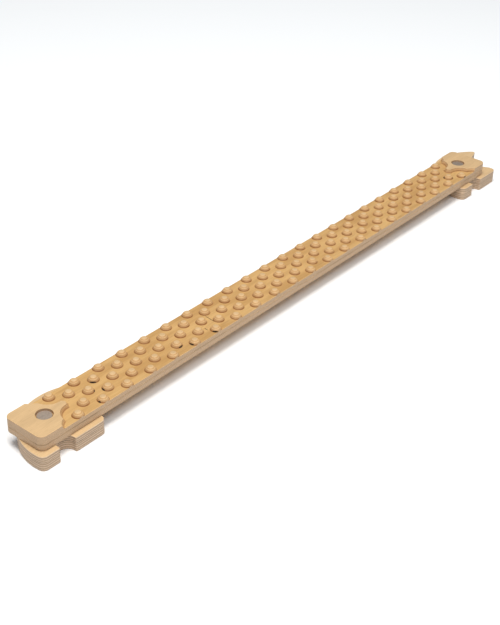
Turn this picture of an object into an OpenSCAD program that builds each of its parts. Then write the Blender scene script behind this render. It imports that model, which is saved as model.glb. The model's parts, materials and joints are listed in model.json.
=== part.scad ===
// Sensory balance beam on two swivelling disc feet.
// X runs along the beam from the front foot to the rear foot, +Z is up.
// The origin is the bottom centre of the whole object, on the floor.

/* [Beam] */
// Distance between neighbouring nubs of one row
pitch = 60; // [50:1:75]
// Number of nubs in each edge row
nubs_per_row = 22; // [12:1:26]
// Distance between neighbouring rows of nubs
row_gap = 18.6; // [17:0.2:20]
// Distance from the first nub of an edge row to the end of the beam
end_margin = 93; // [88:1:110]
// Width of the beam
beam_w = 95; // [92:1:110]
// Radius of the beam's corners in plan
beam_corner_r = 13; // [6:1:20]
// Thickness of the upper board, which carries the nubs
top_board_t = 18; // [15:1:21]
// Thickness of the lower board
bottom_board_t = 12; // [9:1:18]

/* [Milling] */
// Depth that is milled away around the nubs
mill_depth = 8.4; // [6:0.2:9]
// Radius of a nub where it meets the milled floor
nub_r = 11.2; // [10:0.2:12]
// Radius of the clearing round a nub at the milled floor
scallop_floor_r = 24.6; // [22:0.2:26]
// Radius of the clearing round a nub at the uncut face
scallop_face_r = 30; // [27:0.5:32]
// Distance that the side clearing lies outward of the first nub, along the beam
side_scallop_x = 18.6; // [15:0.2:22]
// Distance of the side clearing's centre from the beam's centreline
side_scallop_y = 61.2; // [58:0.2:66]

/* [Pivot] */
// Distance from the end of the beam to the pivot
pivot_margin = 50; // [48:1:56]
// Diameter of the counterbore that the bolt head sinks into
counterbore_d = 32; // [31:1:36]
// Depth of the bolt head's face below the beam's face
head_sink = 3; // [1:0.5:4]
// Diameter of the bolt's flat head
head_d = 28; // [24:1:30]
// Thickness of the bolt's flat head
head_t = 3; // [2:0.5:4]
// Length of the bolt under its head
bolt_l = 50; // [48:1:52]
// Diameter of the bolt's shank
shank_d = 8; // [6:1:10]
// Outer diameter of the bush in the foot
bush_d = 12; // [12:1:16]
// Radial running clearance between the bush and the shank
running_gap = 0.05; // [0.02:0.01:0.1]
// Thickness of the slip washer between the beam and a foot
slip_t = 0.8; // [0.5:0.1:2]
// Diameter of the slip washer
slip_d = 40; // [30:1:50]

/* [Feet] */
// Thickness of a foot's upper plate
upper_plate_t = 12; // [9:1:15]
// Thickness of a foot's lower plate
lower_plate_t = 18; // [18:1:21]
// Radius of the disc that a foot is cut from
foot_r = 115; // [105:1:125]
// Centre of that disc along the beam, from the pivot
foot_cx = 54.6; // [45:0.2:60]
// Centre of that disc across the beam, from the pivot
foot_cy = -36; // [-42:1:-30]
// Place of the foot's straight edge across the beam, from the pivot
flat_y = -59; // [-64:1:-54]
// Radius of the two outer corners of the straight edge
foot_corner_r = 12; // [6:1:14]
// Radius of the half-round notch in the straight edge
notch_r = 18; // [12:1:20]
// Centre of the notch along the beam, from the pivot
notch_x = -2; // [-6:1:6]
// Distance from the straight edge to the notch's centre
notch_inset = 5; // [4:1:8]
// Radius of the notch's two mouth corners
mouth_r = 2.5; // [1:0.5:3]
// Length of the foot's straight edge past the pivot
block_x = 89; // [84:1:95]
// Radius of the large bite in the foot's far side
bite_r = 40; // [34:1:42]
// Centre of the bite along the beam, from the pivot
bite_cx = 121; // [116:1:126]
// Centre of the bite across the beam, from the pivot
bite_cy = -16; // [-20:1:-12]
// Direction of the foot's tip, seen from the disc's centre
tip_angle = 37; // [34:1:40]
// Radius of the foot's tip
tip_r = 5; // [3:0.5:6]

/* [Floor contact] */
// Diameter of a rubber pad
pad_d = 20; // [14:1:24]
// Thickness of a rubber pad
pad_t = 2; // [1.5:0.5:3]
// Height that a rubber pad stands out of the foot
pad_proud = 0.5; // [0.3:0.1:1]

/* [Hardware] */
// Diameter of the recess for the nut in a foot's underside
nut_recess_d = 26; // [25:1:32]
// Depth of the recess for the nut
nut_recess_h = 16; // [15:1:17]
// Diameter of the flat washer under the nut
washer_d = 24; // [20:1:24]
// Thickness of the flat washer
washer_t = 1.6; // [1:0.1:2]
// Diameter of the disc spring
spring_d = 16; // [14:1:18]
// Sheet thickness of the disc spring
spring_sheet = 0.5; // [0.4:0.1:0.8]
// Free height of the disc spring
spring_h = 1; // [0.8:0.1:1.4]
// Width of the lock nut across its flats
nut_af = 13; // [10:1:17]
// Height of the lock nut
nut_h = 8; // [6:0.5:9]

/* [Hidden] */
$fn = 96;

// Colours
birch_face = [0.89, 0.76, 0.58];
birch_floor = [0.87, 0.72, 0.48];
birch_edge = [0.75, 0.65, 0.53];
birch_fresh = [0.96, 0.87, 0.68];
steel = [0.62, 0.58, 0.56];
zinc = [0.72, 0.73, 0.75];
bronze = [0.72, 0.53, 0.28];
nylon = [0.93, 0.93, 0.90];
rubber = [0.12, 0.12, 0.12];

// Small amount that cutters run past a face
over = 1;
// Small chamfers on turned metal
edge = 0.5;

// Levels
foot_z = pad_proud;
plate_joint_z = foot_z + lower_plate_t;
foot_top_z = plate_joint_z + upper_plate_t;
beam_z = foot_top_z + slip_t;
board_joint_z = beam_z + bottom_board_t;
face_z = board_joint_z + top_board_t;
floor_z = face_z - mill_depth;
head_z = face_z - head_sink - head_t;
recess_z = foot_z + nut_recess_h;

// Plan of the beam
half_rows = 2;
lattice_l = (nubs_per_row - 1) * pitch;
beam_l = lattice_l + 2 * end_margin;
pivot_x = beam_l / 2 - pivot_margin;
pad_inner_x = lattice_l / 2 - 0.3 * pitch;
shank_r = shank_d / 2;
neck_h = 5;
neck_gap = 0.1;
bore_r = shank_r + 0.2;

// Plan of a foot, from its pivot
foot_c = [foot_cx, foot_cy];
bite_c = [bite_cx, bite_cy];
tip_apex = foot_c + foot_r * [cos(tip_angle), sin(tip_angle)];
to_bite = bite_c - tip_apex;
wall_l = sqrt(to_bite * to_bite - bite_r * bite_r);
wall_angle = atan2(to_bite[1], to_bite[0]) - asin(bite_r / norm(to_bite));
wall_dir = [cos(wall_angle), sin(wall_angle)];
wall_in = [sin(wall_angle), -cos(wall_angle)];
bite_touch = tip_apex + wall_l * wall_dir;
block_touch_y = bite_cy - sqrt(pow(bite_r, 2) - pow(bite_cx - block_x, 2));
near_corner = [
    foot_cx - sqrt(pow(foot_r - foot_corner_r, 2) - pow(flat_y + foot_corner_r - foot_cy, 2)),
    flat_y + foot_corner_r
];
far_corner = [block_x - foot_corner_r, flat_y + foot_corner_r];
tip_c = first_hit(tip_apex + tip_r * wall_in, wall_dir, foot_c, foot_r - tip_r);

// Places of the rubber pads, from the pivot
pad_places = [[-40, -40], [62, -42], [-8, 42], [105, 45]];

// Shift that brings the origin to the bottom centre of the object
x_low = -pivot_x + foot_cx - foot_r;
x_high = pivot_x + tip_c[0] + tip_r;
y_low = flat_y;
y_high = foot_cy + foot_r;
origin_shift = [-(x_low + x_high) / 2, -(y_low + y_high) / 2, 0];

// First point where a ray from p along unit vector d meets a circle
function first_hit(p, d, c, r) =
    let (w = p - c, b = w * d, k = w * w - r * r) p + (-b - sqrt(b * b - k)) * d;

// Point on a circle round c, in the direction of p
function toward(c, p, r) = c + r * (p - c) / norm(p - c);

// Nub centres: odd rows sit half a pitch in, and the middle row gives way to the end pads
function row_shift(row) = row % 2 == 0 ? 0 : pitch / 2;
function row_first(row) = row == 0 ? 1 : 0;
function row_last(row) = nubs_per_row - (row % 2 == 0 ? 1 : 2) - row_first(row);
nub_places = [
    for (row = [-half_rows:half_rows], i = [row_first(row):row_last(row)])
        [i * pitch + row_shift(row) - lattice_l / 2, row * row_gap]
];

// Centres of the clearings that scallop an end pad, measured from the first nub of an edge row
scallop_places = [
    for (side = [-1, 1], p = [
        [0, half_rows * row_gap],
        [pitch / 2, row_gap],
        [-side_scallop_x, side_scallop_y]
    ]) [p[0], side * p[1]]
];

module rounded_plan(length, width, r) {
    square([length - 2 * r, width], center = true);
    square([length, width - 2 * r], center = true);
    for (sx = [-1, 1], sy = [-1, 1])
        translate([sx * (length / 2 - r), sy * (width / 2 - r)]) circle(r);
}

module board(z, thickness) {
    translate([0, 0, z]) linear_extrude(thickness) rounded_plan(beam_l, beam_w, beam_corner_r);
}

module at_both_ends() {
    for (turn = [0, 180]) rotate(turn) translate([-beam_l / 2, 0, 0]) children();
}

module end_pad() {
    translate([0, 0, floor_z]) difference() {
        translate([0, -beam_w / 2, -over])
            cube([beam_l / 2 - pad_inner_x, beam_w, mill_depth + over]);
        slope = (scallop_face_r - scallop_floor_r) / mill_depth;
        for (p = scallop_places)
            translate([end_margin + p[0], p[1], 0])
                cylinder(r1 = scallop_floor_r, r2 = scallop_face_r + slope * over, h = mill_depth + over);
    }
}

// A nub is a cap of a sphere, sunk a little into the floor
module nub() {
    sphere_r = (pow(nub_r, 2) + pow(mill_depth, 2)) / (2 * mill_depth);
    rotate_extrude() intersection() {
        translate([0, mill_depth - sphere_r]) circle(sphere_r);
        translate([0, -over]) square([nub_r + over, mill_depth + over]);
    }
}

module pivot_hole() {
    translate([pivot_margin, 0, 0]) {
        translate([0, 0, head_z]) cylinder(d = counterbore_d, h = face_z - head_z + over);
        translate([0, 0, head_z - neck_h]) linear_extrude(neck_h + over)
            square(shank_d + 2 * neck_gap, center = true);
        translate([0, 0, beam_z - over]) cylinder(r = bore_r, h = face_z - beam_z);
    }
}

module beam_top_board() color(birch_face) translate(origin_shift) difference() {
    intersection() {
        union() {
            board(board_joint_z, floor_z - board_joint_z);
            at_both_ends() end_pad();
            for (p = nub_places) translate([p[0], p[1], floor_z]) nub();
        }
        board(board_joint_z, top_board_t);
    }
    at_both_ends() pivot_hole();
}

module beam_bottom_board() color(birch_edge) translate(origin_shift) difference() {
    board(beam_z, bottom_board_t);
    at_both_ends() translate([pivot_margin, 0, beam_z - over])
        cylinder(r = bore_r, h = bottom_board_t + 2 * over);
}

// Corner cutter: what lies between two edges and an arc of radius r round c
module shave(c, r, outline) {
    difference() {
        polygon(concat([c], outline));
        translate(c) circle(r);
    }
}

module foot_plan() {
    difference() {
        intersection() {
            translate(foot_c) circle(foot_r);
            translate([foot_cx - 2 * foot_r, flat_y]) square([4 * foot_r, 2 * foot_r]);
        }
        // Half-round notch
        translate([notch_x, flat_y + notch_inset]) circle(notch_r);
        translate([notch_x - notch_r, flat_y - over]) square([2 * notch_r, notch_inset + over]);
        for (side = [-1, 1]) {
            lip = notch_x + side * notch_r;
            c = [lip + side * mouth_r, flat_y + mouth_r];
            shave(c, mouth_r, [[lip - side, c[1]], [lip - side, flat_y - over], [c[0], flat_y - over]]);
        }
        // Large bite between the block and the tip
        translate(bite_c) circle(bite_r);
        polygon([
            bite_touch, tip_apex, [2 * foot_r, tip_apex[1]], [2 * foot_r, 2 * flat_y],
            [block_x, 2 * flat_y], [block_x, block_touch_y], bite_c
        ]);
        // Rounded outer corners
        shave(near_corner, foot_corner_r, [
            toward(foot_c, near_corner, foot_r + over),
            [foot_cx - foot_r, flat_y - over],
            [near_corner[0], flat_y - over]
        ]);
        shave(far_corner, foot_corner_r, [
            [far_corner[0], flat_y - over],
            [block_x + over, flat_y - over],
            [block_x + over, far_corner[1]]
        ]);
        shave(tip_c, tip_r, [
            tip_c - (tip_r + over) * wall_in,
            tip_apex + 2 * tip_r * [1, 0],
            toward(foot_c, tip_c, foot_r + over)
        ]);
    }
}

module foot_upper_plate() color(birch_fresh) difference() {
    translate([0, 0, plate_joint_z]) linear_extrude(upper_plate_t) foot_plan();
    translate([0, 0, plate_joint_z - over]) cylinder(d = bush_d, h = upper_plate_t + 2 * over);
}

module foot_lower_plate() color(birch_edge) difference() {
    translate([0, 0, foot_z]) linear_extrude(lower_plate_t) foot_plan();
    translate([0, 0, foot_z]) cylinder(d = bush_d, h = lower_plate_t + over);
    translate([0, 0, foot_z - over]) cylinder(d = nut_recess_d, h = nut_recess_h + over);
    for (p = pad_places)
        translate([p[0], p[1], foot_z - over]) cylinder(d = pad_d, h = pad_t - pad_proud + over);
}

module foot_pads() color(rubber)
    for (p = pad_places) translate([p[0], p[1], 0]) cylinder(d = pad_d, h = pad_t);

module pivot_bolt() color(steel) {
    rotate_extrude() polygon([
        [0, head_z], [head_d / 2 - edge, head_z], [head_d / 2, head_z + edge],
        [head_d / 2, head_z + head_t - edge], [head_d / 2 - edge, head_z + head_t], [0, head_z + head_t]
    ]);
    translate([0, 0, head_z - neck_h]) linear_extrude(neck_h + edge) square(shank_d, center = true);
    translate([0, 0, head_z - bolt_l]) cylinder(r1 = shank_r - edge, r2 = shank_r, h = edge);
    translate([0, 0, head_z - bolt_l + edge]) cylinder(r = shank_r, h = bolt_l);
}

module pivot_bush() color(bronze) difference() {
    translate([0, 0, recess_z]) cylinder(d = bush_d, h = foot_top_z - recess_z);
    translate([0, 0, recess_z - over])
        cylinder(r = shank_r + running_gap, h = foot_top_z - recess_z + 2 * over);
}

module slip_washer() color(nylon) difference() {
    translate([0, 0, foot_top_z]) cylinder(d = slip_d, h = slip_t);
    translate([0, 0, foot_top_z - over]) cylinder(r = bore_r, h = slip_t + 2 * over);
}

module nut_washer() color(zinc) difference() {
    translate([0, 0, recess_z - washer_t]) cylinder(d = washer_d, h = washer_t);
    translate([0, 0, recess_z - washer_t - over]) cylinder(r = bore_r, h = washer_t + 2 * over);
}

module disc_spring() color(steel) translate([0, 0, recess_z - washer_t - spring_h])
    rotate_extrude() polygon([
        [bore_r, spring_h - spring_sheet], [bore_r, spring_h],
        [spring_d / 2, spring_sheet], [spring_d / 2, 0]
    ]);

// The nut's upper end carries a round collar that holds its locking ring
module lock_nut() color(zinc) translate([0, 0, recess_z - washer_t - spring_h - nut_h]) {
    collar_h = 2;
    difference() {
        union() {
            translate([0, 0, collar_h]) cylinder(d = nut_af / cos(30), h = nut_h - collar_h, $fn = 6);
            cylinder(d = nut_af - 1, h = collar_h + edge);
        }
        translate([0, 0, -over]) cylinder(r = shank_r, h = nut_h + 2 * over);
    }
}

module front() { translate(origin_shift + [-pivot_x, 0, 0]) children(); }
module rear() { translate(origin_shift + [pivot_x, 0, 0]) children(); }

beam_top_board();
beam_bottom_board();
front() pivot_bolt();  // front_pivot_bolt
front() lock_nut();  // front_lock_nut
front() disc_spring();  // front_disc_spring
front() nut_washer();  // front_nut_washer
front() slip_washer();  // front_slip_washer
front() pivot_bush();  // front_pivot_bush
front() foot_upper_plate();  // front_foot_upper_plate
front() foot_lower_plate();  // front_foot_lower_plate
front() foot_pads();  // front_foot_pads
rear() pivot_bolt();  // rear_pivot_bolt
rear() lock_nut();  // rear_lock_nut
rear() disc_spring();  // rear_disc_spring
rear() nut_washer();  // rear_nut_washer
rear() slip_washer();  // rear_slip_washer
rear() pivot_bush();  // rear_pivot_bush
rear() foot_upper_plate();  // rear_foot_upper_plate
rear() foot_lower_plate();  // rear_foot_lower_plate
rear() foot_pads();  // rear_foot_pads
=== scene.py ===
"""Balance beam of birch plywood with milled nubs, on two swivelling disc feet.

The frame gives the places of the pieces, and the values below give what is milled, the veneers
and the looks. All lengths are metres.
"""

import json
import math

import bmesh
import bpy
from mathutils import Matrix, Vector
from mathutils.geometry import delaunay_2d_cdt

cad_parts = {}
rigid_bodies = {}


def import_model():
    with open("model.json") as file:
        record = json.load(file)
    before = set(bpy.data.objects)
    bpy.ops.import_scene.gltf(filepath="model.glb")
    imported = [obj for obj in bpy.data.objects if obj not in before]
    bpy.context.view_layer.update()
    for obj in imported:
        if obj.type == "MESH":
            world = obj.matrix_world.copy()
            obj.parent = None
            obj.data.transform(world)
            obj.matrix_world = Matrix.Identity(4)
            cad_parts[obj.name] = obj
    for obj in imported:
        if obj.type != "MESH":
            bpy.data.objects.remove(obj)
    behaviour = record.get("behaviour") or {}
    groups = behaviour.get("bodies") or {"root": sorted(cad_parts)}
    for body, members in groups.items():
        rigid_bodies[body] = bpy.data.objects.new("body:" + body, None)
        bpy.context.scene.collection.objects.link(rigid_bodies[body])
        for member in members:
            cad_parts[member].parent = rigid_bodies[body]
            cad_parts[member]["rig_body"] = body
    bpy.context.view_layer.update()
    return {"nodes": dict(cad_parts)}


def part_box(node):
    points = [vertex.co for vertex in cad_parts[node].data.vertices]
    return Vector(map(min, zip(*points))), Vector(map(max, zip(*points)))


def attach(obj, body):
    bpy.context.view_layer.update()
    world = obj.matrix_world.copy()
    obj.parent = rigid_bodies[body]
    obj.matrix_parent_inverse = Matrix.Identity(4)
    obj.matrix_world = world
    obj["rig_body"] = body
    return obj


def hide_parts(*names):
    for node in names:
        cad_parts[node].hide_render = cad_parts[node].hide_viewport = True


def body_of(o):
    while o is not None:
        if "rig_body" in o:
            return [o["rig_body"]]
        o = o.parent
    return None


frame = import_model()
nodes = frame["nodes"]

# The milled pattern of the walking face
PITCH = 0.060
ROW_GAP = 0.0186
ROWS = 5
NUBS_PER_ROW = 22
MILL_DEPTH = 0.0084
NUB_FOOT_R = 0.0118
NUB_DOME_R = 0.0096
CLEAR_FLOOR_R = 0.0246
CLEAR_FACE_R = 0.0300
PAD_REACH = 0.3
SIDE_CLEARING = (0.0186, 0.0612)

# Open places in the core veneer at the foot of a nub: pitches along the lattice to that nub, its row
# from the middle, heading from the nub in degrees, and length
CORE_GAPS = [
    (1, 0, -55, 0.006),
    (1, -2, 190, 0.006),
    (1.5, 1, 222, 0.013),
    (1.5, -1, 172, 0.009),
    (4.5, -1, -85, 0.011),
    (5, -2, 188, 0.010),
    (6, -2, 215, 0.011),
    (20.5, -1, 140, 0.009),
    (20.5, -1, -60, 0.008),
    (21, -2, -95, 0.006),
]
GAP_FROM_NUB = 0.0098
GAP_LIFT = 0.0012
GAP_DEEP = 0.0060
GAP_H = 0.0030
# Open joints of the core veneer in the milled floor: place along the beam, and the two ends across it
FLOOR_SPLITS = [(-0.250, -0.018, 0.010), (-0.282, -0.029, -0.018), (-0.274, -0.047, -0.034)]
SPLIT_W = 0.0013
SPLIT_H = 0.0016
SPLIT_TURN = -0.12

# Veneers
VENEER = 0.0014
FOOT_VENEER = 0.0024
# Board shape
PLAN_CORNER_R = 0.013
BOARD_EASE = 0.0009
HOLE_EASE = 0.0005
UNDER_EASE = 0.0006
HEAD_T = 0.003
COUNTERBORE_R = 0.016
NECK_R = 0.0058
SHANK_CLEAR_R = 0.0042
# Where the seam between the two boards has opened, from the front end, and over what length
OPEN_SEAM_PLACE = 0.100
OPEN_SEAM_L = 0.110
# The same in a foot, from the middle of the foot towards the front
FOOT_SEAM_BACK = 0.014
FOOT_SEAM_L = 0.150

beam_low, beam_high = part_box("beam_top_board")
beam_centre = (beam_low + beam_high) / 2
beam_l = beam_high.x - beam_low.x
beam_w = beam_high.y - beam_low.y
face_z = beam_high.z
joint_z = beam_low.z
floor_z = face_z - MILL_DEPTH
lattice_half = (NUBS_PER_ROW - 1) * PITCH / 2
bolt_low, bolt_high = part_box("rear_pivot_bolt")
pivot_x = (bolt_low.x + bolt_high.x) / 2 - beam_centre.x
seat_z = bolt_high.z - HEAD_T


# ---------------------------------------------------------------- node helpers

def place(tree, kind, settings=None, **sockets):
    """Adds a node. Sockets are given by name, with _ for a space, as a value or as another socket."""
    made = tree.nodes.new(kind)
    for name, value in (settings or {}).items():
        setattr(made, name, value)
    for name, value in sockets.items():
        fill(tree, made.inputs[name.replace("_", " ")], value)
    return made


def fill(tree, socket, value):
    if isinstance(value, bpy.types.NodeSocket):
        tree.links.new(value, socket)
    else:
        socket.default_value = value


def sum_of(tree, operation, *values):
    """A Math node's result."""
    made = place(tree, "ShaderNodeMath", {"operation": operation})
    for socket, value in zip(made.inputs, values):
        fill(tree, socket, value)
    return made.outputs[0]


def vector_of(tree, x, y, z):
    return place(tree, "ShaderNodeCombineXYZ", X=x, Y=y, Z=z).outputs[0]


def ramp(tree, value, low, high, to_low=0.0, to_high=1.0):
    """Value carried from low..high to to_low..to_high along a smooth step."""
    made = place(tree, "ShaderNodeMapRange", {"interpolation_type": "SMOOTHSTEP"}, Value=value)
    limits = {"From Min": low, "From Max": high, "To Min": to_low, "To Max": to_high}
    for name, limit in limits.items():
        fill(tree, made.inputs[name], limit)
    return made.outputs[0]


def mix(tree, factor, a, b):
    """A blend of two colours."""
    made = place(tree, "ShaderNodeMix", {"data_type": "RGBA"})
    fill(tree, made.inputs[0], factor)
    fill(tree, made.inputs[6], a)
    fill(tree, made.inputs[7], b)
    return made.outputs[2]


def noise(tree, vector, scale, detail=2.0, roughness=0.5):
    made = place(
        tree, "ShaderNodeTexNoise", Vector=vector, Scale=scale, Detail=detail, Roughness=roughness
    )
    return made.outputs["Fac"]


def split(tree, vector):
    """The X, Y and Z of a vector, by name."""
    return place(tree, "ShaderNodeSeparateXYZ", Vector=vector).outputs


def object_place(tree):
    """The surface's place in its own mesh."""
    return place(tree, "ShaderNodeTexCoord").outputs["Object"]


def new_group(name, kind, inputs, outputs):
    """An empty node group with named sockets, given as name: (type, default)."""
    tree = bpy.data.node_groups.new(name, kind)
    for label, (sort, value) in inputs.items():
        socket = tree.interface.new_socket(name=label, in_out="INPUT", socket_type="NodeSocket" + sort)
        if value is not None:
            socket.default_value = value
    for label, sort in outputs.items():
        tree.interface.new_socket(name=label, in_out="OUTPUT", socket_type="NodeSocket" + sort)
    return tree, tree.nodes.new("NodeGroupInput").outputs, tree.nodes.new("NodeGroupOutput").inputs


def use(tree, group, **sockets):
    """Places a shader group and returns its outputs."""
    return place(tree, "ShaderNodeGroup", {"node_tree": group}, **sockets).outputs


# --------------------------------------------------------------- shader groups

def veneer_layers_group():
    """The stack of veneers under a board's face, read from the height, and the glued seam below it."""
    tree, given, out = new_group(
        "Veneer Layers", "ShaderNodeTree",
        {
            "Face Height": ("Float", 0.0),
            "Seam Height": ("Float", 0.0),
            "Veneer": ("Float", VENEER),
            "Waver": ("Float", 0.00010),
            "Open X": ("Float", 0.0),
            "Open Length": ("Float", 0.1),
        },
        {"Cross": "Float", "Glue": "Float", "Tone": "Float", "Depth": "Float", "Seam": "Float"},
    )
    spot = object_place(tree)
    part = split(tree, spot)
    wander = sum_of(tree, "SUBTRACT", noise(tree, spot, 22.0, 2.0), 0.5)
    below = sum_of(tree, "SUBTRACT", given["Face Height"], part["Z"])
    below = sum_of(tree, "ADD", below, sum_of(tree, "MULTIPLY", wander, given["Waver"]))
    depth = sum_of(tree, "DIVIDE", below, given["Veneer"])
    layer = sum_of(tree, "FLOOR", depth)
    within = sum_of(tree, "FRACT", depth)
    from_middle = sum_of(tree, "ABSOLUTE", sum_of(tree, "SUBTRACT", within, 0.5))
    tone = place(tree, "ShaderNodeTexWhiteNoise", {"noise_dimensions": "1D"}, W=layer).outputs["Value"]
    from_seam = sum_of(tree, "ABSOLUTE", sum_of(tree, "SUBTRACT", given["Seam Height"], part["Z"]))
    from_open = sum_of(tree, "ABSOLUTE", sum_of(tree, "SUBTRACT", part["X"], given["Open X"]))
    half_open = sum_of(tree, "MULTIPLY", given["Open Length"], 0.5)
    open_end = sum_of(tree, "MULTIPLY", half_open, 0.3)
    opened = ramp(tree, from_open, half_open, open_end, 0.10, 1.0)
    elsewhere = ramp(tree, noise(tree, spot, 14.0, 2.0), 0.42, 0.66, 0.0, 0.80)
    opened = sum_of(tree, "MAXIMUM", opened, elsewhere)
    fill(tree, out["Cross"], sum_of(tree, "PINGPONG", layer, 1.0))
    fill(tree, out["Glue"], ramp(tree, from_middle, 0.38, 0.49))
    fill(tree, out["Tone"], tone)
    fill(tree, out["Depth"], depth)
    fill(tree, out["Seam"], sum_of(tree, "MULTIPLY", opened, ramp(tree, from_seam, 0.0009, 0.0003)))
    return tree


def birch_figure_group():
    """Birch figure: shade, fibres, flecks and streaks along the grain, and the pores of end grain.

    Cross turns the grain across the beam.
    """
    tree, given, out = new_group(
        "Birch Figure", "ShaderNodeTree",
        {"Cross": ("Float", 0.0)},
        dict.fromkeys(("Shade", "Fibre", "Fleck", "Streak", "End Grain"), "Float"),
    )
    spot = object_place(tree)
    part = split(tree, spot)
    turn = given["Cross"]
    stay = sum_of(tree, "SUBTRACT", 1.0, turn)

    def blend(a, b):
        return sum_of(tree, "ADD", sum_of(tree, "MULTIPLY", a, stay), sum_of(tree, "MULTIPLY", b, turn))

    along = blend(part["X"], part["Y"])
    across = blend(part["Y"], part["X"])

    def grain(stretch, scale, detail):
        drawn_out = sum_of(tree, "MULTIPLY", along, stretch)
        return noise(tree, vector_of(tree, drawn_out, across, part["Z"]), scale, detail, 0.55)

    fill(tree, out["Shade"], grain(0.14, 42.0, 3.0))
    fill(tree, out["Fibre"], grain(0.035, 900.0, 2.0))
    fill(tree, out["Fleck"], ramp(tree, grain(0.16, 520.0, 1.0), 0.63, 0.76))
    fill(tree, out["Streak"], ramp(tree, grain(0.22, 105.0, 2.0), 0.66, 0.76))
    fill(tree, out["End Grain"], noise(tree, spot, 1600.0, 2.0, 0.6))
    return tree


def sanded_slope_group():
    """How far a surface leans, from its normal's upright part.

    Slope grows from 0 at Start to 1 at Full, and Wall is 1 on upright walls.
    """
    tree, given, out = new_group(
        "Sanded Slope", "ShaderNodeTree",
        {"Start": ("Float", 0.995), "Full": ("Float", 0.80)},
        {"Slope": "Float", "Wall": "Float"},
    )
    normal = place(tree, "ShaderNodeTexCoord").outputs["Normal"]
    lean = sum_of(tree, "ABSOLUTE", split(tree, normal)["Z"])
    fill(tree, out["Slope"], ramp(tree, lean, given["Start"], given["Full"]))
    fill(tree, out["Wall"], ramp(tree, lean, 0.35, 0.10))
    return tree


def metal_grain_group():
    """Fine marks of turning or brushing on metal, and dull blotches."""
    tree, given, out = new_group(
        "Metal Grain", "ShaderNodeTree",
        {"Centre X": ("Float", 0.0), "Centre Y": ("Float", 0.0), "Rings": ("Float", 900.0)},
        {"Mark": "Float", "Blotch": "Float", "Rough": "Float"},
    )
    spot = object_place(tree)
    part = split(tree, spot)
    x = sum_of(tree, "SUBTRACT", part["X"], given["Centre X"])
    y = sum_of(tree, "SUBTRACT", part["Y"], given["Centre Y"])
    square = sum_of(tree, "ADD", sum_of(tree, "POWER", x, 2.0), sum_of(tree, "POWER", y, 2.0))
    turned = vector_of(tree, sum_of(tree, "SQRT", square), 0.0, sum_of(tree, "MULTIPLY", part["Z"], 0.5))
    ring = noise(tree, turned, given["Rings"])
    blotch = noise(tree, spot, 260.0, 3.0)
    fill(tree, out["Mark"], ring)
    fill(tree, out["Blotch"], ramp(tree, blotch, 0.35, 0.70))
    fill(tree, out["Rough"], sum_of(tree, "ADD", 0.34, sum_of(tree, "MULTIPLY", ring, 0.22)))
    return tree


VENEERS = veneer_layers_group()
FIGURE = birch_figure_group()
SLOPE = sanded_slope_group()
METAL_GRAIN = metal_grain_group()


# ------------------------------------------------------------------- materials

# Colour of the shadowed glue seam between two boards
SEAM_DARK = (0.085, 0.048, 0.026, 1)
# Keeps the faces and the milled floor clear of a glue line
FACE_LIFT = 0.00025
# Height of the ring of painted shade at the foot of a nub
FOOT_SHADE_H = 0.0044
# Side of a nub on which the ring of painted shade is darkest
SHADED_SIDE = (-0.80, -0.60, 0.0)
# Roughness of the oiled faces; slopes and walls are rougher
FACE_ROUGHNESS = 0.50


def material(name):
    made = bpy.data.materials.new(name)
    made.use_nodes = True
    tree = made.node_tree
    return made, tree, tree.nodes["Principled BSDF"]


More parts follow.
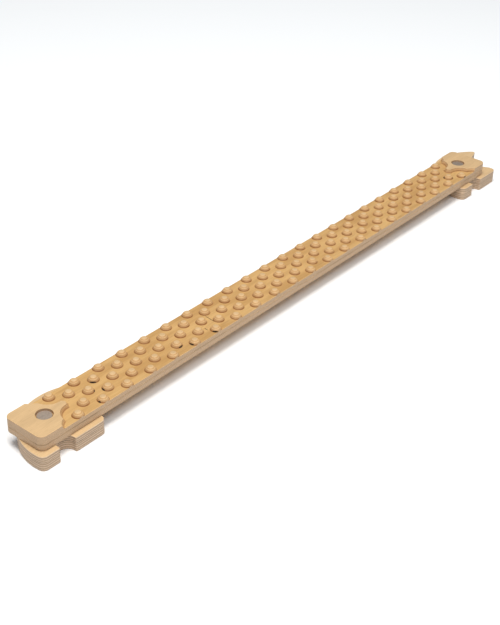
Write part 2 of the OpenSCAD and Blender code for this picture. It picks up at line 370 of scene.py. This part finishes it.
def plywood(name, face_height, seam_height, opening, palette, veneer=VENEER):
    """Birch plywood. Flat faces show the veneer they lie in, and slopes and walls the whole stack.

    opening is the place and length along X over which the glued seam has opened a little.
    """
    made, tree, surface = material(name)
    stack = use(
        tree, VENEERS, Face_Height=face_height + FACE_LIFT, Seam_Height=seam_height, Veneer=veneer,
        Open_X=opening[0], Open_Length=opening[1],
    )
    figure = use(tree, FIGURE, Cross=stack["Cross"])
    lean = use(tree, SLOPE)

    def banded(along, across, glue):
        """Veneers cut along and across their grain, with end grain and glue lines."""
        band = mix(tree, stack["Cross"], along, across)
        band = mix(tree, sum_of(tree, "MULTIPLY", stack["Tone"], 0.30), band, shade(along, 0.78))
        pores = ramp(tree, figure["End Grain"], 0.42, 0.75, 0.0, 0.35)
        band = mix(tree, pores, band, shade(across, 0.70))
        return mix(tree, sum_of(tree, "MULTIPLY", stack["Glue"], glue), band, shade(across, 0.45))

    sunk = ramp(tree, stack["Depth"], 0.6, 1.2)
    light = mix(tree, sunk, palette["face"], palette["deep"])
    dark = mix(tree, sunk, shade(palette["face"], 0.90), palette["deep_shade"])
    flat = mix(tree, ramp(tree, figure["Shade"], 0.34, 0.64), dark, light)
    flat = mix(tree, sum_of(tree, "MULTIPLY", figure["Fleck"], 0.35), flat, shade(palette["deep"], 0.60))
    torn = sum_of(tree, "MULTIPLY", figure["Streak"], sum_of(tree, "MULTIPLY", sunk, 0.55))
    flat = mix(tree, torn, flat, shade(palette["slope_across"], 0.70))
    slope = banded(palette["slope_along"], palette["slope_across"], 0.35)
    wall = banded(palette["wall_along"], palette["wall_across"], 0.75)
    colour = mix(tree, lean["Slope"], flat, mix(tree, lean["Wall"], slope, wall))
    colour = mix(tree, sum_of(tree, "MULTIPLY", stack["Seam"], 0.85), colour, SEAM_DARK)
    # Painted shade at the feet of the nubs and of the scalloped walls
    if "painted_shade" in palette:
        colour = mix(tree, painted_foot_shade(tree, lean), colour, palette["painted_shade"])
    fibres = ramp(tree, figure["Fibre"], 0.30, 0.70, 0.92, 1.05)
    toned = place(tree, "ShaderNodeHueSaturation", Color=colour, Value=fibres).outputs[0]
    fill(tree, surface.inputs["Base Color"], toned)

    rough = sum_of(tree, "ADD", FACE_ROUGHNESS, sum_of(tree, "MULTIPLY", lean["Slope"], 0.16))
    rough = sum_of(tree, "SUBTRACT", rough, sum_of(tree, "MULTIPLY", figure["Fibre"], 0.10))
    fill(tree, surface.inputs["Roughness"], rough)
    surface.inputs["Specular IOR Level"].default_value = 0.30
    relief = sum_of(tree, "SUBTRACT", figure["Fibre"], sum_of(tree, "MULTIPLY", stack["Glue"], 0.6))
    relief = sum_of(tree, "SUBTRACT", relief, sum_of(tree, "MULTIPLY", figure["Fleck"], 0.8))
    bump = place(tree, "ShaderNodeBump", Strength=0.35, Distance=0.0001, Height=relief)
    fill(tree, surface.inputs["Normal"], bump.outputs[0])
    return made


def painted_foot_shade(tree, lean):
    """Painted shade: a dark ring at the foot of a milled slope, darkest on one side of it."""
    coordinates = place(tree, "ShaderNodeTexCoord").outputs
    height = split(tree, coordinates["Object"])["Z"]
    facing = place(tree, "ShaderNodeVectorMath", {"operation": "DOT_PRODUCT"})
    fill(tree, facing.inputs[0], coordinates["Normal"])
    facing.inputs[1].default_value = SHADED_SIDE
    low = ramp(tree, height, floor_z + FOOT_SHADE_H, floor_z + 0.2 * FOOT_SHADE_H)
    above = ramp(tree, height, floor_z - 0.0002, floor_z)
    patch = ramp(tree, noise(tree, coordinates["Object"], 55.0), 0.35, 0.65, 0.75, 1.0)
    # The painted shade is strongest where the surface faces the shaded side
    facing_shaded_side = ramp(tree, facing.outputs["Value"], -0.35, 0.50, 0.40, 1.0)
    band = sum_of(tree, "MULTIPLY", low, above)
    band = sum_of(tree, "MULTIPLY", band, sum_of(tree, "SUBTRACT", lean["Slope"], lean["Wall"]))
    return sum_of(tree, "MULTIPLY", band, sum_of(tree, "MULTIPLY", patch, facing_shaded_side))


def torn_core():
    """The torn fibre inside an open place in a veneer, its dark brown deepened to near black as painted
    shade.
    """
    made, tree, surface = material("torn_core")
    fibre = noise(tree, object_place(tree), 900.0, 3.0)
    # Near-black tones: painted shade inside the open place, over the fibre's own dark brown
    tint = mix(tree, fibre, (0.018, 0.009, 0.005, 1), (0.13, 0.065, 0.030, 1))
    fill(tree, surface.inputs["Base Color"], tint)
    surface.inputs["Roughness"].default_value = 0.95
    bump = place(tree, "ShaderNodeBump", Strength=0.8, Distance=0.0003, Height=fibre)
    fill(tree, surface.inputs["Normal"], bump.outputs[0])
    return made


def shade(colour, factor):
    return tuple(part * factor for part in colour[:3]) + (1.0,)


def turned_metal(name, node, tones, roughness=0.0, strength=0.25):
    """Turned or brushed metal, marked in rings round the node's own axis."""
    colour, stain = tones
    made, tree, surface = material(name)
    low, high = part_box(node)
    middle = (low + high) / 2
    marks = use(tree, METAL_GRAIN, Centre_X=middle.x, Centre_Y=middle.y)
    worn = mix(tree, marks["Blotch"], colour, stain)
    tinted = mix(tree, ramp(tree, marks["Mark"], 0.3, 0.7, 0.0, 0.35), worn, shade(colour, 0.7))
    fill(tree, surface.inputs["Base Color"], tinted)
    surface.inputs["Metallic"].default_value = 1.0
    fill(tree, surface.inputs["Roughness"], sum_of(tree, "ADD", marks["Rough"], roughness))
    bump = place(tree, "ShaderNodeBump", Strength=strength, Distance=0.00005, Height=marks["Mark"])
    fill(tree, surface.inputs["Normal"], bump.outputs[0])
    return made


def natural_nylon():
    made, tree, surface = material("natural_nylon")
    spot = object_place(tree)
    cloud = noise(tree, spot, 180.0, 3.0)
    tint = mix(tree, cloud, (0.78, 0.77, 0.70, 1), (0.88, 0.87, 0.83, 1))
    fill(tree, surface.inputs["Base Color"], tint)
    fill(tree, surface.inputs["Roughness"], ramp(tree, cloud, 0.2, 0.8, 0.34, 0.50))
    surface.inputs["Subsurface Weight"].default_value = 0.2
    surface.inputs["Subsurface Radius"].default_value = (0.002, 0.002, 0.0015)
    return made


def pad_rubber():
    made, tree, surface = material("pad_rubber")
    spot = object_place(tree)
    grit = noise(tree, spot, 2600.0, 2.0)
    dust = ramp(tree, noise(tree, spot, 140.0, 3.0), 0.45, 0.75)
    tint = mix(tree, dust, (0.022, 0.022, 0.023, 1), (0.075, 0.071, 0.066, 1))
    fill(tree, surface.inputs["Base Color"], tint)
    fill(tree, surface.inputs["Roughness"], ramp(tree, dust, 0.0, 1.0, 0.62, 0.88))
    bump = place(tree, "ShaderNodeBump", Strength=0.5, Distance=0.00008, Height=grit)
    fill(tree, surface.inputs["Normal"], bump.outputs[0])
    return made


# ------------------------------------------------------------------ board shape

def clearing_centres():
    """Centres of the clearings that scallop one end pad, seen from the beam's middle."""
    out_x, out_y = SIDE_CLEARING
    return [
        (x, side * y)
        for side in (-1, 1)
        for x, y in (
            (lattice_half, 2 * ROW_GAP),
            (lattice_half - PITCH / 2, ROW_GAP),
            (lattice_half + out_x, out_y),
        )
    ]


def cove_profile():
    """Distance from a clearing's centre and height over the milled floor, from floor to face."""
    lean = math.radians(80)
    steps = 7
    wall = MILL_DEPTH - BOARD_EASE
    points = []
    for i in range(steps + 1):
        turn = lean * i / steps
        out = CLEAR_FLOOR_R + (CLEAR_FACE_R - CLEAR_FLOOR_R) * math.sin(turn) / math.sin(lean)
        points.append((out, wall * (1 - math.cos(turn)) / (1 - math.cos(lean))))
    for degrees in (30, 60, 90):
        turn = math.radians(degrees)
        out = CLEAR_FACE_R + BOARD_EASE * (1 - math.cos(turn))
        points.append((out, wall + BOARD_EASE * math.sin(turn)))
    return points


CENTRES = clearing_centres()
COVE = cove_profile()


def walking_height(x, y):
    """Height of the walking face without its nubs."""
    x = abs(x)
    if x < lattice_half - PAD_REACH * PITCH:
        return floor_z
    distance = min(math.dist((x, y), centre) for centre in CENTRES)
    if distance <= COVE[0][0]:
        return floor_z
    for (near, low), (far, high) in zip(COVE, COVE[1:]):
        if distance <= far:
            return floor_z + low + (high - low) * (distance - near) / (far - near)
    return face_z


def plan_outline(inset, steps=10):
    """The beam's rounded plan, anticlockwise, moved inwards by inset."""
    r = PLAN_CORNER_R - inset
    core_x = beam_l / 2 - PLAN_CORNER_R
    core_y = beam_w / 2 - PLAN_CORNER_R
    points = []
    for quarter, (sx, sy) in enumerate(((1, 1), (-1, 1), (-1, -1), (1, -1))):
        for i in range(steps + 1):
            turn = math.pi / 2 * (quarter + i / steps)
            points.append((sx * core_x + r * math.cos(turn), sy * core_y + r * math.sin(turn)))
    return points


def plan_outward(x, y):
    """Direction straight out of the plan's outline at a point near it."""
    core = Vector((beam_l / 2 - PLAN_CORNER_R, beam_w / 2 - PLAN_CORNER_R))
    held = Vector((max(-core.x, min(core.x, x)), max(-core.y, min(core.y, y))))
    away = Vector((x, y)) - held
    return away.normalized(), away.length


def circle(x, y, r, steps=48):
    turns = [2 * math.pi * i / steps for i in range(steps)]
    return [(x + r * math.cos(turn), y + r * math.sin(turn)) for turn in turns]


def cove_rings():
    """Lines along the scalloped walls, kept where their own clearing is the nearest."""
    steps = 120
    lines = []
    for side in (-1, 1):
        for centre in CENTRES:
            others = [c for c in CENTRES if c != centre]
            for radius, _ in COVE:
                ring = []
                for x, y in circle(*centre, radius, steps) + [(centre[0] + radius, centre[1])]:
                    nearest = all(math.dist((x, y), other) > radius - 1e-5 for other in others)
                    if nearest and abs(y) < beam_w / 2 + 0.002:
                        ring.append((side * x, y))
                        continue
                    if len(ring) > 1:
                        lines.append(ring)
                    ring = []
                if len(ring) > 1:
                    lines.append(ring)
    return lines


def closed_edges(start, count):
    return [(start + i, start + (i + 1) % count) for i in range(count)]


def board_mesh(name, low_z, height, holes, lines=()):
    """A board with eased edges, as one closed shell.

    height(x, y) is its upper face, lines are kept as edges of that face, and holes lists
    (x, radius, seat, bore): a hole of that radius down to the seat, and the bore below it.
    """
    points = plan_outline(BOARD_EASE)
    edges = closed_edges(0, len(points))
    for x, radius, seat, bore in holes:
        ring = circle(x, 0, radius + HOLE_EASE)
        edges += closed_edges(len(points), len(ring))
        points += ring
    for line in lines:
        edges += [(len(points) + i, len(points) + i + 1) for i in range(len(line) - 1)]
        points += line
    found = delaunay_2d_cdt([Vector(p) for p in points], edges, [], 1, 1e-7, False)

    bm = bmesh.new()
    verts = [bm.verts.new((p.x, p.y, height(p.x, p.y))) for p in found[0]]
    for face in found[2]:
        middle = sum((found[0][i] for i in face), Vector((0, 0))) / len(face)
        outside = plan_outward(*middle)[1] > PLAN_CORNER_R - BOARD_EASE
        if outside or any(math.dist(middle, (x, 0)) < r + 0.9 * HOLE_EASE for x, r, *_ in holes):
            continue
        bm.faces.new([verts[i] for i in face])
    bmesh.ops.delete(bm, geom=[v for v in bm.verts if not v.link_faces], context="VERTS")

    for loop in rim_loops(bm):
        first = loop[0].co
        hole = next((h for h in holes if math.dist(first.xy, (h[0], 0)) < h[1] + 0.002), None)
        if hole:
            hole_wall(bm, loop, hole, low_z)
        else:
            outer_wall(bm, loop, low_z)
    rim = [e for e in bm.edges if e.is_boundary]
    bmesh.ops.triangle_fill(bm, edges=rim, use_beauty=True)
    bmesh.ops.recalc_face_normals(bm, faces=bm.faces)
    mesh = bpy.data.meshes.new(name)
    bm.to_mesh(mesh)
    bm.free()
    return mesh


def rim_loops(bm):
    """The closed chains of boundary vertices."""
    left = {e for e in bm.edges if e.is_boundary}
    loops = []
    while left:
        edge = left.pop()
        start, here = edge.verts
        loop = [start]
        while here is not start:
            loop.append(here)
            edge = next(e for e in here.link_edges if e in left)
            left.discard(edge)
            here = edge.other_vert(here)
        loops.append(loop)
    return loops


def next_ring(bm, ring, moved):
    """Skins from one ring of vertices to the next, whose places moved gives."""
    new = [bm.verts.new(moved(v.co)) for v in ring]
    count = len(ring)
    for i in range(count):
        j = (i + 1) % count
        bm.faces.new((ring[i], ring[j], new[j], new[i]))
    return new


def outer_wall(bm, ring, low_z):
    """Eased rim, side wall and eased lower edge round a board."""

    def pushed(out, drop=None, level=None):
        def move(co):
            way = plan_outward(co.x, co.y)[0] * out
            return Vector((co.x + way.x, co.y + way.y, co.z - drop if level is None else level))
        return move

    last_out = last_drop = 0.0
    for degrees in (30, 60, 90):
        turn = math.radians(degrees)
        out, drop = BOARD_EASE * math.sin(turn), BOARD_EASE * (1 - math.cos(turn))
        ring = next_ring(bm, ring, pushed(out - last_out, drop - last_drop))
        last_out, last_drop = out, drop
    ring = next_ring(bm, ring, pushed(0.0, level=low_z + UNDER_EASE))
    ring = next_ring(bm, ring, pushed(-0.3 * UNDER_EASE, level=low_z + 0.3 * UNDER_EASE))
    next_ring(bm, ring, pushed(-0.7 * UNDER_EASE, level=low_z))


def hole_wall(bm, ring, hole, low_z):
    """Eased mouth, counterbore wall, seat and bore."""
    x, radius, seat, bore = hole

    def at(r, level):
        def move(co):
            way = (Vector((co.x - x, co.y))).normalized() * r
            return Vector((x + way.x, way.y, level))
        return move

    top = ring[0].co.z
    ring = next_ring(bm, ring, at(radius + 0.3 * HOLE_EASE, top - 0.3 * HOLE_EASE))
    ring = next_ring(bm, ring, at(radius, top - HOLE_EASE))
    if bore < radius:
        ring = next_ring(bm, ring, at(radius, seat))
        ring = next_ring(bm, ring, at(bore, seat))
    next_ring(bm, ring, at(bore, low_z))


# ------------------------------------------------------------------ nub lattice

def nub_lattice_tree():
    """Geometry nodes that raise a staggered lattice of nubs on the board they are given."""
    tree, given, out = new_group(
        "Nub Lattice", "GeometryNodeTree",
        {
            "Board": ("Geometry", None),
            "Nubs per Row": ("Int", NUBS_PER_ROW),
            "Rows": ("Int", ROWS),
            "Pitch": ("Float", PITCH),
            "Row Gap": ("Float", ROW_GAP),
            "Dome Radius": ("Float", NUB_DOME_R),
            "Foot Radius": ("Float", NUB_FOOT_R),
            "Height": ("Float", MILL_DEPTH),
            "Floor Height": ("Float", floor_z),
            "Board Width": ("Float", beam_w),
            "Board Length": ("Float", beam_l),
            "Material": ("Material", None),
        },
        {"Board": "Geometry"},
    )

    # Points of a plain grid, numbered row by row within each column
    columns = sum_of(tree, "SUBTRACT", given["Nubs per Row"], 1.0)
    gaps = sum_of(tree, "SUBTRACT", given["Rows"], 1.0)
    grid = place(
        tree, "GeometryNodeMeshGrid",
        Size_X=sum_of(tree, "MULTIPLY", columns, given["Pitch"]),
        Size_Y=sum_of(tree, "MULTIPLY", gaps, given["Row Gap"]),
        Vertices_X=given["Nubs per Row"],
        Vertices_Y=given["Rows"],
    ).outputs["Mesh"]
    index = place(tree, "GeometryNodeInputIndex").outputs[0]
    row = sum_of(tree, "MODULO", index, given["Rows"])
    column = sum_of(tree, "FLOOR", sum_of(tree, "DIVIDE", index, given["Rows"]))
    odd = sum_of(tree, "MODULO", row, 2.0)

    # Odd rows sit half a pitch in and have one nub fewer; the middle row gives way to the end pads
    last = sum_of(tree, "COMPARE", column, columns, 0.5)
    first = sum_of(tree, "COMPARE", column, 0.0, 0.5)
    middle = sum_of(tree, "COMPARE", row, sum_of(tree, "DIVIDE", gaps, 2.0), 0.5)
    at_end = sum_of(tree, "MAXIMUM", first, last)
    spare = sum_of(
        tree, "MAXIMUM", sum_of(tree, "MULTIPLY", odd, last), sum_of(tree, "MULTIPLY", middle, at_end)
    )

    # Shift before deleting, because deleting renumbers the points
    stagger = sum_of(tree, "MULTIPLY", odd, sum_of(tree, "DIVIDE", given["Pitch"], 2.0))
    shifted = place(
        tree, "GeometryNodeSetPosition", Geometry=grid,
        Offset=vector_of(tree, stagger, 0.0, given["Floor Height"]),
    )
    kept = place(
        tree, "GeometryNodeDeleteGeometry", {"domain": "POINT"},
        Geometry=shifted.outputs[0], Selection=spare,
    )
    lattice = place(
        tree, "GeometryNodeInstanceOnPoints", Points=kept.outputs[0], Instance=nub_shape(tree, given)
    )
    nubs = place(tree, "GeometryNodeRealizeInstances", Geometry=lattice.outputs[0]).outputs[0]

    # The nubs are cut flush with the board's sides, and become one solid with the board. The
    # cutting block is a hair narrower than the board, so the two never share a side.
    tall = 0.1
    slack = 0.00004
    blank = place(
        tree, "GeometryNodeMeshCube",
        Size=vector_of(
            tree, given["Board Length"], sum_of(tree, "SUBTRACT", given["Board Width"], slack), tall
        ),
    ).outputs["Mesh"]
    lifted = place(
        tree, "GeometryNodeTransform", Geometry=blank,
        Translation=vector_of(tree, 0.0, 0.0, given["Floor Height"]),
    ).outputs[0]
    flush = place(tree, "GeometryNodeMeshBoolean", {"operation": "INTERSECT", "solver": "MANIFOLD"})
    fill(tree, flush.inputs["Mesh 2"], nubs)
    fill(tree, flush.inputs["Mesh 2"], lifted)
    whole = place(tree, "GeometryNodeMeshBoolean", {"operation": "UNION", "solver": "MANIFOLD"})
    fill(tree, whole.inputs["Mesh 2"], given["Board"])
    fill(tree, whole.inputs["Mesh 2"], flush.outputs["Mesh"])
    real = place(tree, "GeometryNodeRealizeInstances", Geometry=whole.outputs["Mesh"]).outputs[0]
    finished = place(tree, "GeometryNodeSetMaterial", Geometry=real, Material=given["Material"])
    fill(tree, out["Board"], finished.outputs[0])
    return tree


def nub_shape(tree, given):
    """One nub: a dome that flares out to meet the milled floor, and a root sunk into it."""
    sides, bands = 26, 9
    root = 0.0012
    # The dome stops short of its pole, which leaves a nearly flat top
    crown = math.radians(78)
    fullness = 0.78
    flare_power = 5.0
    tube = place(
        tree, "GeometryNodeMeshCylinder", {"fill_type": "TRIANGLE_FAN"},
        Vertices=sides, Side_Segments=bands, Fill_Segments=1, Radius=1.0, Depth=1.0,
    ).outputs["Mesh"]
    part = split(tree, place(tree, "GeometryNodeInputPosition").outputs[0])
    rise = sum_of(tree, "ADD", part["Z"], 0.5)

    # The lowest band is the root, and the others climb the dome
    climb = sum_of(tree, "DIVIDE", sum_of(tree, "SUBTRACT", rise, 1 / bands), 1 - 1 / bands)
    above = sum_of(tree, "MAXIMUM", climb, 0.0)
    turn = sum_of(tree, "MULTIPLY", above, crown)
    dome = sum_of(tree, "POWER", sum_of(tree, "COSINE", turn), fullness)
    dome = sum_of(tree, "MULTIPLY", given["Dome Radius"], dome)
    spread = sum_of(tree, "SUBTRACT", given["Foot Radius"], given["Dome Radius"])
    flare = sum_of(tree, "POWER", sum_of(tree, "SUBTRACT", 1.0, above), flare_power)
    radius = sum_of(tree, "ADD", dome, sum_of(tree, "MULTIPLY", flare, spread))

    level = sum_of(tree, "DIVIDE", sum_of(tree, "SINE", turn), math.sin(crown))
    level = sum_of(tree, "MULTIPLY", level, given["Height"])
    sunk = sum_of(tree, "MULTIPLY", sum_of(tree, "LESS_THAN", rise, 0.5 / bands), root)
    x = sum_of(tree, "MULTIPLY", part["X"], radius)
    y = sum_of(tree, "MULTIPLY", part["Y"], radius)
    shaped = place(
        tree, "GeometryNodeSetPosition", Geometry=tube,
        Position=vector_of(tree, x, y, sum_of(tree, "SUBTRACT", level, sunk)),
    )
    return shaped.outputs[0]


def core_gaps(name, look):
    """Cutters for the open places in the veneer, by the listed nubs and in the milled floor."""
    bm = bmesh.new()

    def hollow(x, y, z, turn, size):
        spot = Matrix.Translation((x, y, z)) @ Matrix.Rotation(turn, 4, "Z")
        stretched = spot @ Matrix.Diagonal((*size, 1))
        bmesh.ops.create_icosphere(bm, subdivisions=3, radius=0.5, matrix=stretched)

    for along, row, heading, length in CORE_GAPS:
        turn = math.radians(heading)
        x = along * PITCH - lattice_half + GAP_FROM_NUB * math.cos(turn)
        y = row * ROW_GAP + GAP_FROM_NUB * math.sin(turn)
        hollow(x, y, floor_z + GAP_LIFT, turn, (GAP_DEEP, length, GAP_H))
    for x, low, high in FLOOR_SPLITS:
        hollow(x, (low + high) / 2, floor_z, SPLIT_TURN, (SPLIT_W, high - low, SPLIT_H))
    mesh = bpy.data.meshes.new(name)
    bm.to_mesh(mesh)
    bm.free()
    mesh.materials.append(look)
    return new_object(name, mesh)


def set_inputs(modifier, **values):
    """Sets a Geometry Nodes modifier's inputs by their labels."""
    for item in modifier.node_group.interface.items_tree:
        key = item.name.replace(" ", "_")
        if item.in_out == "INPUT" and key in values:
            modifier[item.identifier] = values[key]


def plain(obj, name):
    """The evaluated object as a plain mesh object of the same place, without modifiers."""
    graph = bpy.context.evaluated_depsgraph_get()
    mesh = bpy.data.meshes.new_from_object(obj.evaluated_get(graph), depsgraph=graph)
    made = new_object(name, mesh)
    bpy.data.objects.remove(obj)
    return made


def new_object(name, mesh):
    made = bpy.data.objects.new(name, mesh)
    bpy.context.scene.collection.objects.link(made)
    return made


def drop_slivers(mesh):
    """Removes the faces and edges of no size that rounding and cutting leave behind."""
    bm = bmesh.new()
    bm.from_mesh(mesh)
    bmesh.ops.dissolve_degenerate(bm, dist=1e-6, edges=bm.edges)
    bm.to_mesh(mesh)
    bm.free()


def shade_soft(obj):
    """Smooth shading that keeps hard edges and lets big flat faces stay flat."""
    drop_slivers(obj.data)
    obj.data.shade_smooth()
    obj.data.set_sharp_from_angle(angle=math.radians(46))
    weights = obj.modifiers.new("Face Weights", "WEIGHTED_NORMAL")
    weights.keep_sharp = True
    weights.weight = 100
    return plain(obj, obj.name + ".shaded")


def finish_piece(obj, name, node, look):
    """Names a piece, gives it its look if it has none, and puts it in its CAD node's place."""
    obj.name = name
    obj.data.name = name
    if look not in list(obj.data.materials):
        obj.data.materials.clear()
        obj.data.materials.append(look)
    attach(obj, body_of(nodes[node])[0])
    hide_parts(node)




def top_board(look):
    holes = [(x, COUNTERBORE_R, seat_z, NECK_R) for x in (-pivot_x, pivot_x)]
    board = new_object("blank", board_mesh("blank", joint_z, walking_height, holes, cove_rings()))
    milling = board.modifiers.new("Nub Lattice", "NODES")
    milling.node_group = nub_lattice_tree()
    set_inputs(
        milling, Nubs_per_Row=NUBS_PER_ROW, Rows=ROWS, Pitch=PITCH, Row_Gap=ROW_GAP,
        Dome_Radius=NUB_DOME_R, Foot_Radius=NUB_FOOT_R, Height=MILL_DEPTH, Floor_Height=floor_z,
        Board_Width=beam_w, Board_Length=beam_l, Material=look,
    )
    board = plain(board, "milled")
    # The open places take a near-black look, painted shade inside them
    gaps = core_gaps("gaps", torn_core())
    opening = board.modifiers.new("Core Gaps", "BOOLEAN")
    opening.operation = "DIFFERENCE"
    opening.solver = "MANIFOLD"
    opening.material_mode = "TRANSFER"
    opening.object = gaps
    board = plain(board, "opened")
    bpy.data.objects.remove(gaps)
    board.data.transform(Matrix.Translation((beam_centre.x, beam_centre.y, 0)))
    finish_piece(shade_soft(board), "walking_board", "beam_top_board", look)


def bottom_board(look):
    low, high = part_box("beam_bottom_board")
    holes = [(x, SHANK_CLEAR_R, low.z, SHANK_CLEAR_R) for x in (-pivot_x, pivot_x)]
    board = new_object("lower", board_mesh("lower", low.z, lambda x, y: high.z, holes))
    board.data.transform(Matrix.Translation((beam_centre.x, beam_centre.y, 0)))
    finish_piece(shade_soft(board), "lower_board", "beam_bottom_board", look)


# ------------------------------------------------------- pieces on CAD outlines

def eased_copy(node, name, look, width):
    """A welded copy of a CAD node with its hard edges rounded by width."""
    bm = bmesh.new()
    bm.from_mesh(nodes[node].data)
    bmesh.ops.remove_doubles(bm, verts=bm.verts, dist=1e-6)
    bmesh.ops.dissolve_limit(bm, angle_limit=math.radians(1), verts=bm.verts, edges=bm.edges)
    mesh = bpy.data.meshes.new(name)
    bm.to_mesh(mesh)
    bm.free()
    made = new_object(name + ".raw", mesh)
    rounding = made.modifiers.new("Eased Edges", "BEVEL")
    rounding.width = width
    rounding.segments = 3
    rounding.limit_method = "ANGLE"
    rounding.angle_limit = math.radians(35)
    rounding.use_clamp_overlap = True
    finish_piece(shade_soft(plain(made, name + ".eased")), name, node, look)


# ------------------------------------------------------------------------ looks

MILLED_BIRCH = {
    "face": (0.620, 0.410, 0.208, 1),
    "deep": (0.590, 0.358, 0.138, 1),
    "deep_shade": (0.470, 0.262, 0.090, 1),
    "slope_along": (0.745, 0.475, 0.232, 1),
    "slope_across": (0.570, 0.320, 0.128, 1),
    "wall_along": (0.670, 0.455, 0.275, 1),
    "wall_across": (0.490, 0.325, 0.195, 1),
    # Colour of the painted shade at the feet of the nubs
    "painted_shade": (0.265, 0.105, 0.028, 1),
}
FRESH_BIRCH = {
    "face": (0.670, 0.455, 0.240, 1),
    "deep": (0.670, 0.455, 0.240, 1),
    "deep_shade": (0.540, 0.365, 0.190, 1),
    "slope_along": (0.760, 0.550, 0.340, 1),
    "slope_across": (0.640, 0.440, 0.270, 1),
    "wall_along": (0.680, 0.500, 0.350, 1),
    "wall_across": (0.430, 0.290, 0.180, 1),
}


# Metals: the clean colour, and the colour of a stain
BRUSHED_STEEL = ((0.62, 0.50, 0.40, 1), (0.52, 0.41, 0.33, 1))
ZINC = ((0.60, 0.61, 0.62, 1), (0.50, 0.50, 0.47, 1))
SPRING_STEEL = ((0.16, 0.16, 0.17, 1), (0.10, 0.095, 0.09, 1))
BRONZE = ((0.60, 0.38, 0.16, 1), (0.42, 0.26, 0.12, 1))

# Widths of eased edges
PLATE_EASE = 0.0009
RUBBER_EASE = 0.0004
BOLT_EASE = 0.0003
THIN_EASE = 0.0002
NYLON_EASE = 0.00015
SPRING_EASE = 0.0001


def build_pieces():
    opening = (beam_low.x + OPEN_SEAM_PLACE, OPEN_SEAM_L)
    top_board(plywood("milled_birch", face_z, joint_z, opening, MILLED_BIRCH))
    # The lower board has no nubs, so it takes no painted shade at their feet
    plain_birch = {part: colour for part, colour in MILLED_BIRCH.items() if part != "painted_shade"}
    bottom_board(plywood("birch_ply", joint_z, joint_z, opening, plain_birch))
    nylon = natural_nylon()
    rubber = pad_rubber()
    for end in ("front", "rear"):
        build_foot(end, nylon, rubber)
        build_fixings(end)


def build_foot(end, nylon, rubber):
    """The pieces that turn with one foot."""
    low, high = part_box(f"{end}_foot_upper_plate")
    opening = ((low.x + high.x) / 2 - FOOT_SEAM_BACK, FOOT_SEAM_L)
    for part, face_height in (("upper", high.z), ("lower", low.z)):
        name = f"{end}_foot_{part}_ply"
        ply = plywood(name, face_height, low.z, opening, FRESH_BIRCH, FOOT_VENEER)
        eased_copy(f"{end}_foot_{part}_plate", name, ply, PLATE_EASE)
    eased_copy(f"{end}_foot_pads", f"{end}_rubber_pads", rubber, RUBBER_EASE)
    eased_copy(f"{end}_slip_washer", f"{end}_nylon_washer", nylon, NYLON_EASE)
    bush = turned_metal(f"{end}_bronze", f"{end}_pivot_bush", BRONZE)
    eased_copy(f"{end}_pivot_bush", f"{end}_bronze_bush", bush, THIN_EASE)


def build_fixings(end):
    """The bolt through one end of the beam, and what is held on it."""
    steel = turned_metal(f"{end}_brushed_steel", f"{end}_pivot_bolt", BRUSHED_STEEL, 0.10, 0.6)
    zinc = turned_metal(f"{end}_zinc_steel", f"{end}_lock_nut", ZINC)
    spring = turned_metal(f"{end}_spring_steel", f"{end}_disc_spring", SPRING_STEEL)
    eased_copy(f"{end}_pivot_bolt", f"{end}_flat_head_bolt", steel, BOLT_EASE)
    eased_copy(f"{end}_lock_nut", f"{end}_hex_lock_nut", zinc, BOLT_EASE)
    eased_copy(f"{end}_nut_washer", f"{end}_flat_washer", zinc, THIN_EASE)
    eased_copy(f"{end}_disc_spring", f"{end}_coned_spring", spring, SPRING_EASE)


# ----------------------------------------------------------------------- studio

def studio_floor():
    size = 12.0
    made = new_object("studio_floor", bpy.data.meshes.new("studio_floor"))
    half = size / 2
    corners = [(-half, -half, 0), (half, -half, 0), (half, half, 0), (-half, half, 0)]
    made.data.from_pydata(corners, [], [(0, 1, 2, 3)])
    look, _, surface = material("studio_white")
    surface.inputs["Base Color"].default_value = (0.94, 0.94, 0.94, 1)
    surface.inputs["Roughness"].default_value = 0.9
    surface.inputs["Specular IOR Level"].default_value = 0.1
    made.data.materials.append(look)


def area_light(name, offset, size, watts, colour):
    """A square soft light at an offset from the beam's centre, turned to face it."""
    lamp = bpy.data.lights.new(name, "AREA")
    lamp.size = size
    lamp.energy = watts
    lamp.color = colour
    made = bpy.data.objects.new(name, lamp)
    bpy.context.scene.collection.objects.link(made)
    made.location = beam_centre + Vector(offset)
    made.rotation_euler = (-Vector(offset)).to_track_quat("-Z", "Y").to_euler()


def studio_light():
    world = bpy.data.worlds.new("studio")
    bpy.context.scene.world = world
    world.use_nodes = True
    sky = world.node_tree.nodes["Background"]
    sky.inputs["Color"].default_value = (0.82, 0.91, 1.0, 1)
    sky.inputs["Strength"].default_value = 0.34
    area_light("key", (-0.8, -0.3, 5.8), 2.4, 285, (1.0, 0.98, 0.95))
    area_light("fill", (-1.4, -2.6, 4.2), 1.7, 80, (0.98, 0.99, 1.0))


def camera():
    """Long lens looking along the beam from above its front end."""
    heading, tilt, roll = 39.03, 32.58, 1.486
    lens = bpy.data.cameras.new("camera")
    lens.sensor_width = 36.0
    lens.lens = 68.62
    made = bpy.data.objects.new("camera", lens)
    bpy.context.scene.collection.objects.link(made)
    turn = (
        Matrix.Rotation(math.radians(heading - 90), 4, "Z")
        @ Matrix.Rotation(math.radians(90 - tilt), 4, "X")
        @ Matrix.Rotation(math.radians(roll), 4, "Z")
    )
    middle_of_face = Vector((beam_centre.x, beam_centre.y, face_z))
    stand = middle_of_face + Vector((-1.71306, -1.29066, 1.2525))
    made.matrix_world = Matrix.Translation(stand) @ turn
    bpy.context.scene.camera = made


build_pieces()
studio_floor()
studio_light()
camera()
bpy.context.scene.view_settings.view_transform = "Standard"
